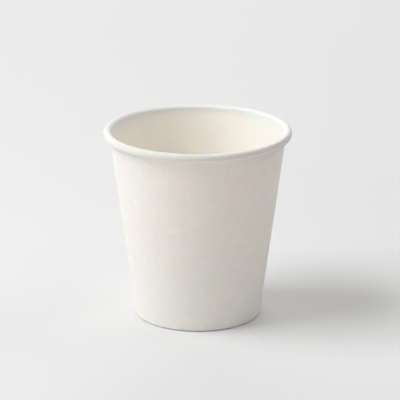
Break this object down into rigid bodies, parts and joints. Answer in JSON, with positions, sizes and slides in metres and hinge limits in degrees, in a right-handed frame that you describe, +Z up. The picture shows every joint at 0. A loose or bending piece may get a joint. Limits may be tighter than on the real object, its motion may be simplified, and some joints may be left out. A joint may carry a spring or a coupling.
{
  "type": "bagasse cup",
  "caption": "Round moulded-pulp drinking cup, open at the top, with a smooth tapered wall, an outward-rolled rim and a raised floor inside a foot ring.",
  "frame": {"origin": "centre of the foot, on the surface that the cup stands on", "axes": "+Z up the cup's axis, towards the open mouth"},
  "size_m": [0.08, 0.08, 0.082],
  "materials": {
    "moulded_pulp": "matte, faintly mottled off-white pulp, a little smoother and warmer inside"
  },
  "bodies": {
    "root": {"cup": "moulded_pulp"}
  },
  "joints": []
}
